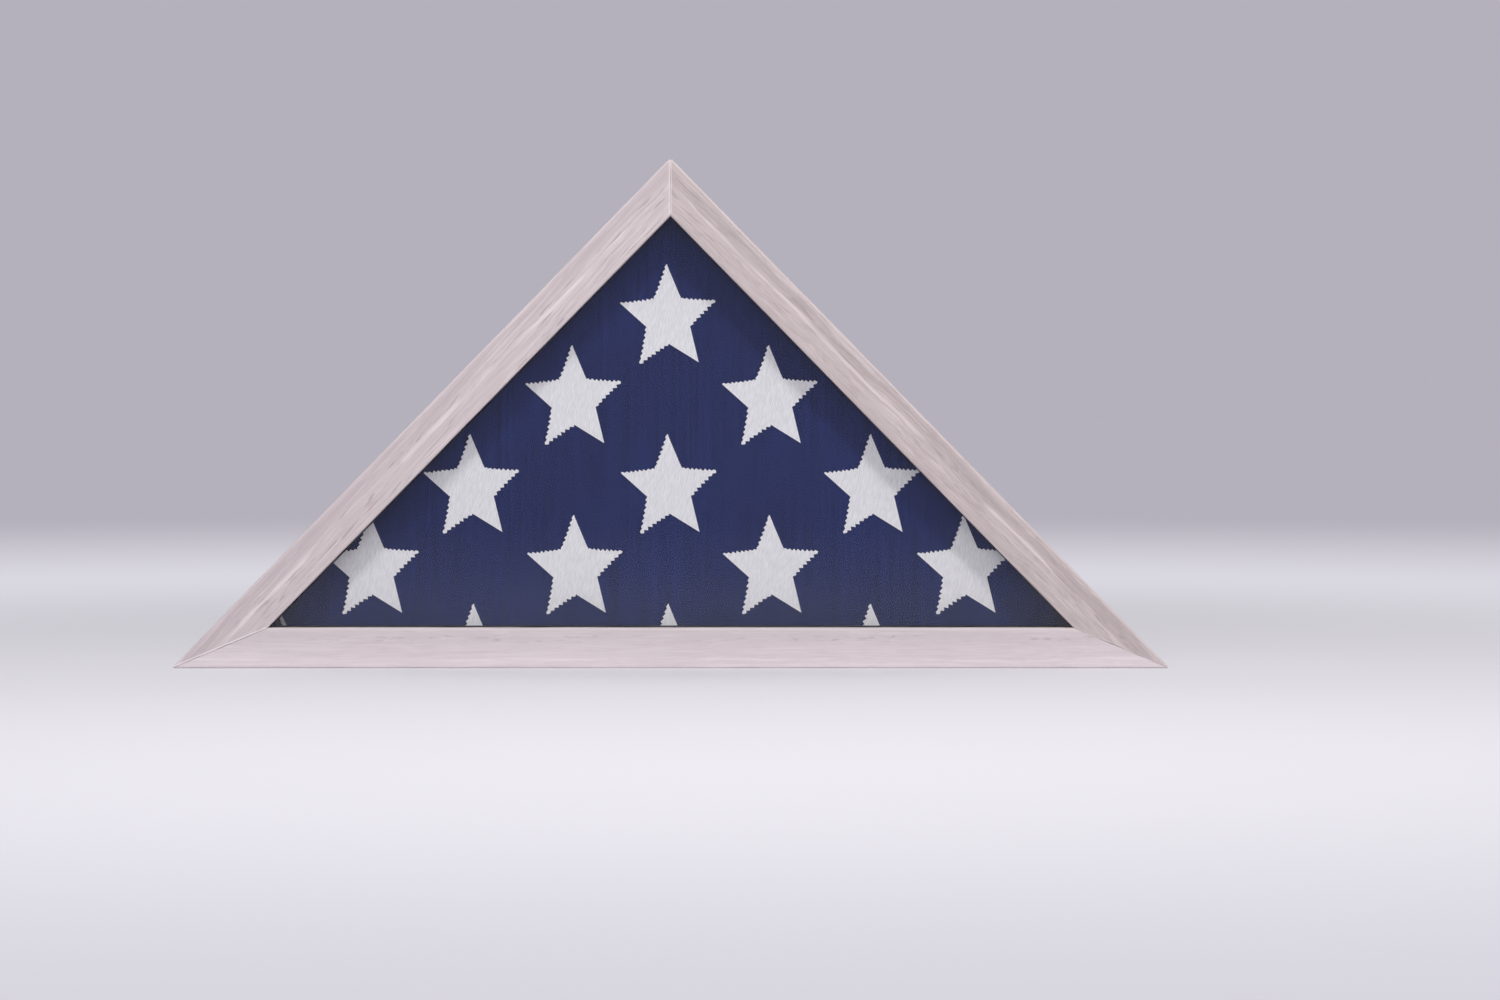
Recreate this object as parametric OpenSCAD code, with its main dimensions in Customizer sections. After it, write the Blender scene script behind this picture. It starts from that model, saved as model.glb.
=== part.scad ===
// Folded flag display case: a triangular shadow box of mitred moulding, glazed in front, that holds
// a cotton flag folded to a triangle behind black spacers. A loose back panel in a rebate closes it,
// held by turn buttons. Two ring hangers and two bumpers let it hang on a wall instead.
// X is to the right, Y to the back and Z up. The origin is on the surface that the case stands on,
// under the middle of its width and depth.

/* [Case] */
// Width of the case along its base, outside
case_w = 666; // [600:1:720]
// Height of the case from its base to its point, outside
case_h = 340; // [300:1:370]
// Depth of the moulding, from its front face to its back edge
case_depth = 90; // [75:1:120]
// Thickness of the moulding's wall
wall_t = 19; // [17:0.5:22]
// Thickness of the lip in front of the pane
lip_t = 10; // [6:0.5:14]
// How far the lip reaches over the pane
lip_reach = 8; // [4:0.5:10]
// Radius of the moulding's eased front edges
eased_r = 1.5; // [0.5:0.1:3]
// Width of the rebate that the back panel lies in
rebate_w = 6; // [4:0.5:6.5]

/* [Glazing and spacers] */
// Thickness of the glazing pane
pane_t = 2; // [1.5:0.1:4]
// Gap between the pane's edge and the wall
pane_play = 0.5; // [0.2:0.1:1.5]
// Depth of the spacer strips behind the pane
spacer_depth = 12; // [6:0.5:20]
// How far the spacers stand into the window past the lip
spacer_proud = 0.3; // [0.1:0.1:3]

/* [Flag] */
// Gap between the flag and the walls, spacers and lining
flag_play = 0.3; // [0.3:0.1:1]
// Radius of the folded edges
fold_r = 8; // [5:0.5:12]
// Thickness of a sewn star
star_t = 0.6; // [0.4:0.1:1.5]
// Width of a star, from side point to side point
star_w = 64; // [50:0.1:80]
// Height of a star, from top point to feet
star_h = 66.3; // [50:0.1:80]
// Reach of a star's notches, as a share of the reach of its points
star_notch = 0.456; // [0.36:0.002:0.5]
// Tilt of the stars, as the cloth was folded
star_tilt = 1.5; // [-5:0.1:5]
// Sideways step from one star to the star in the next row
star_step_x = 66; // [55:0.5:80]
// Step down from one row of stars to the next
star_step_z = 57; // [50:0.5:70]
// How much higher than half-way every second row is sewn
star_row_lift = 2.7; // [0:0.1:5]
// Height of the top star's centre above the base
star_top_z = 233.3; // [210:0.1:240]

/* [Back panel] */
// Thickness of the back panel
panel_t = 3; // [2:0.1:5]
// Gap between the panel's edge and the rebate
panel_play = 0.4; // [0.3:0.1:1]
// How far the panel lies below the back edge
panel_sunk = 0.2; // [0.1:0.1:1]
// Thickness of the felt lining on the panel
lining_t = 1; // [0.5:0.1:2]
// Gap between the lining's edge and the wall
lining_play = 1; // [0.5:0.1:3]

/* [Turn buttons] */
// Width of a turn button
button_w = 10; // [8:0.5:10.5]
// Length of a turn button from its pivot to its tip
button_reach = 20; // [16:0.5:26]
// Thickness of a turn button
button_t = 1.2; // [0.8:0.1:2]
// How far the pressed rib stands out of a turn button
button_rib_h = 0.7; // [0.3:0.1:1]
// Running gap around a turn button, at its pivot and its two faces
button_play = 0.08; // [0.05:0.01:0.1]
// Distance from a lower corner to the legs' lower turn buttons
low_button_from_corner = 110; // [80:1:150]
// Distance from the top to the legs' upper turn buttons
high_button_from_top = 190; // [160:1:220]
// Distance from a lower corner to the base's turn buttons
base_button_from_corner = 165; // [120:1:220]

/* [Hangers and bumpers] */
// Distance from the top to the hangers' eyes
hanger_from_top = 105; // [80:1:120]
// Width of a hanger's strap
strap_w = 10; // [8:0.5:10.5]
// Thickness of a hanger's strap
strap_t = 1.2; // [0.8:0.1:1.8]
// Radius of a hanger ring's wire
ring_wire_r = 1; // [0.8:0.1:1.4]
// Gap between the ring and its eye
ring_play = 0.1; // [0.05:0.01:0.1]
// Inside width of a hanger's ring
ring_inner_w = 12; // [11:0.5:16]
// Length of a hanger ring's straight sides
ring_side = 6; // [5:0.5:10]
// Radius of a wall bumper
bumper_r = 5; // [4:0.5:6]
// How far a wall bumper stands out past the hangers
bumper_past = 0.3; // [0.2:0.1:3]
// Distance from a lower corner to a wall bumper
bumper_from_corner = 70; // [50:1:100]

/* [Fasteners] */
// Radius of a screw's thread
screw_r = 1.75; // [1.5:0.05:2]
// Radius of the hole that a screw is driven into
pilot_r = 1.4; // [1.2:0.05:1.45]
// Depth of a screw in the wood
screw_depth = 14; // [10:0.5:20]
// Radius of a screw's head
screw_head_r = 3.4; // [3:0.1:4]
// Height of a screw's head
screw_head_h = 1.5; // [1.2:0.1:1.8]
// Length of each wing of a corner nail
nail_wing = 4; // [3:0.1:4.5]
// Thickness of a corner nail
nail_t = 0.8; // [0.5:0.1:1]
// Depth of a corner nail in the wood
nail_depth = 10; // [7:0.5:14]
// How far a corner nail's edge stands out of the wood
nail_proud = 0.1; // [0.05:0.05:0.2]

/* [Hidden] */
$fn = 48;

// The triangle: angle at each lower corner, half the angle at the top, and length of a leg
base_angle = atan2(case_h, case_w / 2);
half_top_angle = 90 - base_angle;
leg_len = norm([case_w / 2, case_h]);

// A hanger, counted from its ring's bar down the strap
eye_float = 0.1;
eye_side_gap = 2;
hanger_screw_gap = 1;
eye_r = ring_wire_r + ring_play + strap_t;
eye_lift = eye_r + eye_float;
eye_w = ring_inner_w - 2 * eye_side_gap;
bow_r = ring_inner_w / 2 + ring_wire_r;
hanger_screw_at = ring_side + bow_r + ring_wire_r + hanger_screw_gap + screw_head_r;
bumper_t = eye_lift + eye_r + bumper_past;

// Depths, counted from the front face to the back
front_y = -(case_depth + bumper_t) / 2;
spacer_front = lip_t + pane_t;
stars_front = spacer_front + spacer_depth + flag_play;
flag_front = stars_front + star_t;
panel_front = case_depth - panel_sunk - panel_t;
lining_front = panel_front - lining_t;
flag_back = lining_front - flag_play;

// Sideways shifts of the stars from their even places, row by row and from left to right, as sewn
star_shifts = [[-2], [0.5, 0.5], [-2, -1.5, 3], [-3.5, 1.5, 1, -0.5], [0, 0, -1, 3, 0]];

// Distances in from the outer edge
face_w = wall_t + lip_reach;
land_w = wall_t - rebate_w;
land_mid = land_w / 2;
spacer_reach = face_w + spacer_proud;
fold_inset = wall_t + flag_play + fold_r;

// A screw's head: height of its rim below the dome, and width and depth of its cross recess
head_rim = 0.3;
recess_w = 0.8;
recess_depth = 0.8;

// Places of the corner nails, as shares of the joint across the back edge
nail_shares = [0.45, 0.75];
top_nail_share = 0.6;

// How far cuts run past what they cut
over = 1;

wood = "#c9bec0";
steel = "#b9bcc0";

// Corners of the case's triangle, moved in by a distance: left, right and top
function corners_in(inset) = [
    [-(case_w / 2 - inset / tan(base_angle / 2)), inset],
    [case_w / 2 - inset / tan(base_angle / 2), inset],
    [0, case_h - inset / sin(half_top_angle)]];

// ---- Places: on a rail, X runs along it, Y from its outer edge inwards and Z from front to back ----

module on_left_rail() {
    translate([-case_w / 2, front_y, 0])
        rotate([0, 180 - base_angle, 0])
            rotate([90, 0, 180]) children();
}

module on_base_rail() {
    translate([case_w / 2, front_y, 0])
        rotate([90, 0, 180]) children();
}

// Stands a flat outline up, and gives it a thickness from a depth on
module upright(from_front, thickness) {
    translate([0, front_y + from_front + thickness, 0])
        rotate([90, 0, 0]) linear_extrude(thickness) children();
}

module mirrored() {
    mirror([1, 0, 0]) children();
}

// ---- Moulding ----

// What an edge of radius eased_r loses at a corner, to the right of it
module eased_edge() {
    difference() {
        translate([-over, -over]) square(eased_r + over);
        translate([eased_r, eased_r]) circle(eased_r);
    }
}

// Section of the moulding: Y is the distance in from the outer edge, Z the depth
module moulding_section() {
    difference() {
        polygon([[0, 0], [face_w, 0], [face_w, lip_t], [wall_t, lip_t], [wall_t, panel_front],
            [land_w, panel_front], [land_w, case_depth], [0, case_depth]]);
        eased_edge();
        translate([face_w, 0]) mirror([1, 0]) eased_edge();
    }
}

// Cuts what runs along a rail to the planes that halve its two corners
module mitred(length, start_angle, end_angle) {
    reach = spacer_reach + over;
    slope_start = 1 / tan(start_angle / 2);
    slope_end = 1 / tan(end_angle / 2);
    intersection() {
        children();
        translate([0, 0, -over]) linear_extrude(case_depth + 2 * over)
            polygon([[-over * slope_start, -over], [length + over * slope_end, -over],
                [length - reach * slope_end, reach], [reach * slope_start, reach]]);
    }
}

module moulding(length) {
    rotate([90, 0, 90]) linear_extrude(length) moulding_section();
}

module pilot_hole(along) {
    translate([along, land_mid, case_depth - screw_depth]) cylinder(r = pilot_r, h = screw_depth + over);
}

module left_rail() {
    color(wood) on_left_rail() difference() {
        mitred(leg_len, base_angle, 2 * half_top_angle) moulding(leg_len);
        pilot_hole(low_button_from_corner);
        pilot_hole(leg_len - high_button_from_top);
        pilot_hole(leg_len - hanger_from_top - hanger_screw_at);
    }
}

module right_rail() {
    mirrored() left_rail();
}

module base_rail() {
    color(wood) on_base_rail() difference() {
        mitred(case_w, base_angle, base_angle) moulding(case_w);
        pilot_hole(base_button_from_corner);
        pilot_hole(case_w - base_button_from_corner);
    }
}

// A nail bent to a V, driven from the back across a mitre, with its fold on the joint
module corner_nail() {
    wing = nail_wing * cos(45);
    edge = nail_t / cos(45);
    translate([0, front_y + case_depth + nail_proud, 0]) rotate([90, 0, 0])
        linear_extrude(nail_depth + nail_proud)
            polygon([[0, 0], [wing, wing], [wing, wing - edge], [edge, 0], [wing, edge - wing], [wing, -wing]]);
}

// Places a nail on the joint of a lower left corner, a distance from the case's tip
module left_corner_nail(from_tip) {
    translate([-case_w / 2 + from_tip * cos(base_angle / 2), 0, from_tip * sin(base_angle / 2)])
        rotate([0, -base_angle / 2, 0]) corner_nail();
}

module corner_nails() {
    land_on_joint = land_w / sin(base_angle / 2);
    land_on_top_joint = land_w / sin(half_top_angle);
    color(steel) {
        for (share = nail_shares) {
            left_corner_nail(share * land_on_joint);
            mirrored() left_corner_nail(share * land_on_joint);
        }
        translate([0, 0, case_h - top_nail_share * land_on_top_joint]) rotate([0, 90, 0]) corner_nail();
    }
}

// ---- Glazing and spacers ----

module glazing_pane() {
    color("#e8eef0", 0.25) upright(lip_t, pane_t) polygon(corners_in(wall_t + pane_play));
}

// A black strip along a rail, behind the pane, that stands past the lip
module spacer_strip(length, start_angle, end_angle) {
    color("#141416") mitred(length, start_angle, end_angle)
        translate([0, wall_t, spacer_front]) cube([length, spacer_reach - wall_t, spacer_depth]);
}

module left_spacer() {
    on_left_rail() spacer_strip(leg_len, base_angle, 2 * half_top_angle);
}

module right_spacer() {
    mirrored() left_spacer();
}

module base_spacer() {
    on_base_rail() spacer_strip(case_w, base_angle, base_angle);
}

// ---- Flag ----

// A plump triangle with round folds all round
module folded_flag() {
    color("#2f3456") hull()
        for (corner = corners_in(fold_inset), depth = [flag_front + fold_r, flag_back - fold_r])
            translate([corner.x, front_y + depth, corner.y]) sphere(r = fold_r, $fn = 32);
}

// Five-pointed star about the centre of the circle through its points
module star_outline() {
    points = 5;
    half_w = star_w / (2 * cos(18));
    half_h = star_h / (1 + cos(36));
    rotate(star_tilt) polygon([for (i = [0 : 2 * points - 1])
        let (reach = i % 2 == 0 ? 1 : star_notch, turn = i * 180 / points)
            [half_w * reach * sin(turn), half_h * reach * cos(turn)]]);
}

// Centre of a star, by its row from the top down and its number from the left
function star_centre(row, number) =
    let (shift = star_shifts[row][number])
        [(2 * number - row) * star_step_x + (is_undef(shift) ? 0 : shift),
            star_top_z - row * star_step_z + (row % 2 == 1 ? star_row_lift : 0)];

// Stars in rows that gain one each, cut off where the cloth folds away
module flag_stars() {
    rows = floor((star_top_z - fold_inset + star_h / 2) / star_step_z);
    color("#d7d5de") upright(stars_front, star_t) intersection() {
        union() for (row = [0 : rows], number = [0 : row])
            translate(star_centre(row, number)) star_outline();
        polygon(corners_in(fold_inset));
    }
}

// ---- Back ----

module back_panel() {
    color("#3a3633") upright(panel_front, panel_t) polygon(corners_in(land_w + panel_play));
}

module panel_lining() {
    color("#1c1c20") upright(lining_front, lining_t) polygon(corners_in(wall_t + lining_play));
}

// A steel plate with a round end about its pivot, parked along its rail, with a pressed rib
module turn_button(along) {
    end_r = button_w / 2;
    color(steel) translate([along, land_mid, case_depth + button_play]) difference() {
        union() {
            linear_extrude(button_t) {
                circle(r = end_r);
                translate([end_r - button_reach, -end_r]) square([button_reach - end_r, button_w]);
                translate([end_r - button_reach, 0]) circle(r = end_r);
            }
            translate([end_r / 2 - button_reach, 0, 0]) button_rib();
        }
        translate([0, 0, -over]) cylinder(r = screw_r + button_play, h = button_t + 2 * over);
    }
}

// Half of a turn button's length, from the middle of the plate up
module button_rib() {
    rib_r = button_w / 5;
    rib_len = button_reach / 2;
    intersection() {
        translate([0, 0, button_t + button_rib_h - rib_r]) rotate([0, 90, 0]) cylinder(r = rib_r, h = rib_len);
        translate([0, -rib_r, button_t / 2]) cube([rib_len, 2 * rib_r, button_t + button_rib_h]);
    }
}

module left_low_button() {
    on_left_rail() turn_button(low_button_from_corner);
}

module left_high_button() {
    on_left_rail() turn_button(leg_len - high_button_from_top);
}

module left_base_button() {
    on_base_rail() turn_button(case_w - base_button_from_corner);
}

module right_low_button() {
    mirrored() left_low_button();
}

module right_high_button() {
    mirrored() left_high_button();
}

module right_base_button() {
    mirrored() left_base_button();
}

// ---- Fasteners ----

// A domed wood screw with a cross recess, whose head sits at a height above the back edge
module wood_screw(along, head_lift) {
    dome_h = screw_head_h - head_rim;
    dome_r = (screw_head_r * screw_head_r + dome_h * dome_h) / (2 * dome_h);
    translate([along, land_mid, case_depth]) {
        translate([0, 0, -screw_depth]) cylinder(r = screw_r, h = screw_depth + head_lift + over / 2);
        translate([0, 0, head_lift]) difference() {
            intersection() {
                cylinder(r = screw_head_r, h = screw_head_h);
                translate([0, 0, screw_head_h - dome_r]) sphere(r = dome_r);
            }
            for (turn = [45, 135]) rotate([0, 0, turn])
                translate([-screw_head_r / 2, -recess_w / 2, screw_head_h - recess_depth])
                    cube([screw_head_r, recess_w, over + recess_depth]);
        }
    }
}

module button_screws() {
    lift = button_t + 2 * button_play;
    color(steel) for (side = [0, 1]) mirror([side, 0, 0]) {
        on_left_rail() {
            wood_screw(low_button_from_corner, lift);
            wood_screw(leg_len - high_button_from_top, lift);
        }
        on_base_rail() wood_screw(case_w - base_button_from_corner, lift);
    }
}

module hanger_screws() {
    color(steel) for (side = [0, 1]) mirror([side, 0, 0])
        on_left_rail() wood_screw(leg_len - hanger_from_top - hanger_screw_at, strap_t);
}

// ---- Hangers and bumpers ----

// On a hanger, X runs up the rail, Y along the ring's bar and Z away from the wood; zero is the bar
module on_left_hanger() {
    on_left_rail() translate([leg_len - hanger_from_top, land_mid, case_depth + eye_lift]) children();
}

module left_hanger_strap() {
    color(steel) on_left_hanger() difference() {
        union() {
            translate([0, 0, -eye_lift]) linear_extrude(strap_t) {
                translate([-hanger_screw_at, -strap_w / 2]) square([hanger_screw_at - 2 * eye_r, strap_w]);
                translate([-2 * eye_r - over, -eye_w / 2]) square([2 * eye_r + over, eye_w]);
                translate([-hanger_screw_at, 0]) circle(r = strap_w / 2);
            }
            rotate([90, 0, 0]) translate([0, 0, -eye_w / 2]) cylinder(r = eye_r, h = eye_w);
        }
        rotate([90, 0, 0]) translate([0, 0, -strap_w]) cylinder(r = ring_wire_r + ring_play, h = 2 * strap_w);
        translate([-hanger_screw_at, 0, -eye_lift - over])
            cylinder(r = screw_r + ring_play, h = strap_t + 2 * over);
    }
}

module right_hanger_strap() {
    mirrored() left_hanger_strap();
}

// A ring of round wire: a bar through the eye, two straight sides and a half-round bow
module left_hanger_ring() {
    bar_end = bow_r + ring_wire_r + ring_play;
    color(steel) on_left_hanger() {
        translate([0, bar_end, 0]) rotate([90, 0, 0]) cylinder(r = ring_wire_r, h = 2 * bar_end);
        for (side = [-1, 1])
            translate([-ring_side, side * bow_r, 0]) rotate([0, 90, 0]) cylinder(r = ring_wire_r, h = ring_side);
        translate([-ring_side, 0, 0]) rotate([0, 0, 90]) rotate_extrude(angle = 180)
            translate([bow_r, 0]) circle(r = ring_wire_r);
    }
}

module right_hanger_ring() {
    mirrored() left_hanger_ring();
}

module wall_bumpers() {
    color("#26262a") for (side = [0, 1]) mirror([side, 0, 0]) on_base_rail()
        translate([case_w - bumper_from_corner, land_mid, case_depth]) cylinder(r = bumper_r, h = bumper_t);
}

left_rail();
right_rail();
base_rail();
corner_nails();
glazing_pane();
left_spacer();
right_spacer();
base_spacer();
folded_flag();
flag_stars();
back_panel();
panel_lining();
left_low_button();
left_high_button();
left_base_button();
right_low_button();
right_high_button();
right_base_button();
button_screws();
left_hanger_strap();
right_hanger_strap();
left_hanger_ring();
right_hanger_ring();
hanger_screws();
wall_bumpers();
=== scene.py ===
import math
import random

import bmesh
import bpy
from mathutils import Matrix, Vector, noise


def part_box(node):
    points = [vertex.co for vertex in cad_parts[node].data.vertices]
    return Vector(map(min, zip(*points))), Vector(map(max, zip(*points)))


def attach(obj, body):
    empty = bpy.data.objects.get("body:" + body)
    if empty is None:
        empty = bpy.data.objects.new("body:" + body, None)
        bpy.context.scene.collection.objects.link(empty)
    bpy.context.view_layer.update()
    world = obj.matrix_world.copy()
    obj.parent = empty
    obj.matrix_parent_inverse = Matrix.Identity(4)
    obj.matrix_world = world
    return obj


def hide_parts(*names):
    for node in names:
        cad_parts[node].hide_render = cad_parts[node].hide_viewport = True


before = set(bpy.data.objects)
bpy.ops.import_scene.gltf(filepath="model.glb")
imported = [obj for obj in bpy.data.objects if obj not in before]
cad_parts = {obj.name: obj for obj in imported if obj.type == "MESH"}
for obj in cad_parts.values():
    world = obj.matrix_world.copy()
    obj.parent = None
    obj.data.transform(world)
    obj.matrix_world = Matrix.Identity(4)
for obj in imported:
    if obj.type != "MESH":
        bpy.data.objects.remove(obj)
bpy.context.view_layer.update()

# ---- Rails -----------------------------------------------------------------------------------------
# Three lengths of one pine moulding, sawn to mitres, glued and nailed. The wood is limed: brushed out
# along its soft grain, then wiped with a pinkish white wash that stays in the pores and wears thin on
# the ridges and on the eased edges.
mm = 0.001
rail_low, rail_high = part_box("base_rail")
case_w = rail_high.x - rail_low.x
face_w = rail_high.z - rail_low.z
case_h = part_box("left_rail")[1].z
case_front = rail_low.y
case_depth = rail_high.y - rail_low.y
panel_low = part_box("back_panel")[0]
panel_depth = panel_low.y - case_front
wall_t = 19 * mm
lip_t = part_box("glazing_pane")[0].y - case_front
rebate_w = 6 * mm
eased_r = 1.5 * mm
arris_r = 0.15 * mm
base_angle = math.atan2(case_h, case_w / 2)
top_angle = math.pi - 2 * base_angle
leg_length = math.hypot(case_w / 2, case_h)


def place_on_rail(side):
    """From a rail's own place, X along it, Y in from its outer edge and Z to the back, to the case."""
    if side == "base":
        turned = Matrix(((-1, 0, 0), (0, 0, 1), (0, 1, 0))).to_4x4()
        return Matrix.Translation((case_w / 2, case_front, 0)) @ turned
    along, inwards = math.cos(base_angle), math.sin(base_angle)
    turned = Matrix(((along, inwards, 0), (0, 0, 1), (inwards, -along, 0))).to_4x4()
    left = Matrix.Translation((-case_w / 2, case_front, 0)) @ turned
    return left if side == "left" else Matrix.Scale(-1, 4, (1, 0, 0)) @ left


def rail_section():
    """The moulding's section, as places in from the outer edge and back from the front face."""
    land_w = wall_t - rebate_w
    return [(0, 0), (face_w, 0), (face_w, lip_t), (wall_t, lip_t), (wall_t, panel_depth),
            (land_w, panel_depth), (land_w, case_depth), (0, case_depth)]


def remember_places(shape):
    """Keeps each point's place on the rail, in millimetres, as the attribute that the grain follows."""
    layer = shape.verts.layers.float_vector.new("rail_place")
    for vert in shape.verts:
        vert[layer] = vert.co / mm


def cut(shape, point, normal, clear_outer=False):
    """Cuts a shape along a plane. With clear_outer, what lies past the plane comes off."""
    bmesh.ops.bisect_plane(shape, geom=shape.verts[:] + shape.edges[:] + shape.faces[:],
                           plane_co=point, plane_no=normal, clear_outer=clear_outer)


def finished(shape, name, place=None):
    """The bmesh as an object of the scene, moved to its place, with its normals outwards."""
    if place is not None:
        shape.transform(place)
    bmesh.ops.recalc_face_normals(shape, faces=shape.faces)
    mesh = bpy.data.meshes.new(name)
    shape.to_mesh(mesh)
    shape.free()
    piece = bpy.data.objects.new(name, mesh)
    bpy.context.scene.collection.objects.link(piece)
    return piece


def make_rail(side):
    """One length of moulding: eased along the front, mitred, with worn tips and slightly uneven faces."""
    length = case_w if side == "base" else leg_length
    end_angle = base_angle if side == "base" else top_angle
    tip_wear = 1.5 * mm
    touching = 0.001 * mm
    cut_gap = 4 * mm
    cuts_across = 5
    wear = 0.35 * mm
    worn_length, worn_width = 30 * mm, 6 * mm
    shape = bmesh.new()
    section = [shape.verts.new((0, inset, depth)) for inset, depth in rail_section()]
    start = shape.faces.new(section)
    along = bmesh.ops.extrude_face_region(shape, geom=[start])
    moved = [part for part in along["geom"] if isinstance(part, bmesh.types.BMVert)]
    bmesh.ops.translate(shape, verts=moved, vec=(length, 0, 0))
    front = [edge for edge in shape.edges
             if all(vert.co.z < mm for vert in edge.verts)
             and abs(edge.verts[0].co.x - edge.verts[1].co.x) > length / 2]
    bmesh.ops.bevel(shape, geom=front, offset=eased_r, segments=4, profile=0.5,
                    affect="EDGES", material=-1)
    for at, angle, outwards in ((0, base_angle / 2, -1), (length, end_angle / 2, 1)):
        end = Vector((at, 0, 0))
        normal = Vector((math.sin(angle), outwards * math.cos(angle), 0)) * outwards
        inwards = Vector((-outwards * math.cos(angle), math.sin(angle), 0))
        for point, away in ((end, normal), (end + inwards * tip_wear, -inwards)):
            cut(shape, point, away, clear_outer=True)
            open_edges = [edge for edge in shape.edges if edge.is_boundary]
            bmesh.ops.holes_fill(shape, edges=open_edges, sides=0)
        mitre = [edge for edge in shape.edges
                 if all(abs((vert.co - end).dot(normal)) < touching for vert in edge.verts)]
        bmesh.ops.bevel(shape, geom=mitre, offset=arris_r, segments=2, profile=0.5,
                        affect="EDGES", material=-1)
    for number in range(1, math.ceil(length / cut_gap)):
        cut(shape, (number * cut_gap, 0, 0), (1, 0, 0))
    for number in range(1, cuts_across + 1):
        cut(shape, (0, number * cut_gap, 0), (0, 1, 0))
    remember_places(shape)
    shape.normal_update()
    seed = {"left": 0.0, "right": 7.0, "base": 13.0}[side]
    for vert in shape.verts:
        rough = noise.noise(Vector((vert.co.x / worn_length, vert.co.y / worn_width,
                                    vert.co.z / worn_width + seed)))
        vert.co -= vert.normal * wear * max(rough, 0)
    return finished(shape, f"{side}_rail_moulding", place_on_rail(side))


def linear(colour):
    """An sRGB hex colour as linear light, with full alpha."""
    parts = [int(colour[i:i + 2], 16) / 255 for i in (1, 3, 5)]
    return [c / 12.92 if c <= 0.04045 else ((c + 0.055) / 1.055) ** 2.4 for c in parts] + [1]


def add_node(material, kind, inputs=None, **settings):
    """Adds a node with its settings. An input takes a plain value, or another node's output."""
    node = material.node_tree.nodes.new(kind)
    for name, value in settings.items():
        setattr(node, name, value)
    for name, value in (inputs or {}).items():
        if isinstance(value, bpy.types.NodeSocket):
            material.node_tree.links.new(value, node.inputs[name])
        else:
            node.inputs[name].default_value = value
    return node


def new_material(name):
    """A material with no nodes yet."""
    material = bpy.data.materials.new(name)
    material.use_nodes = True
    material.node_tree.nodes.clear()
    return material


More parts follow.
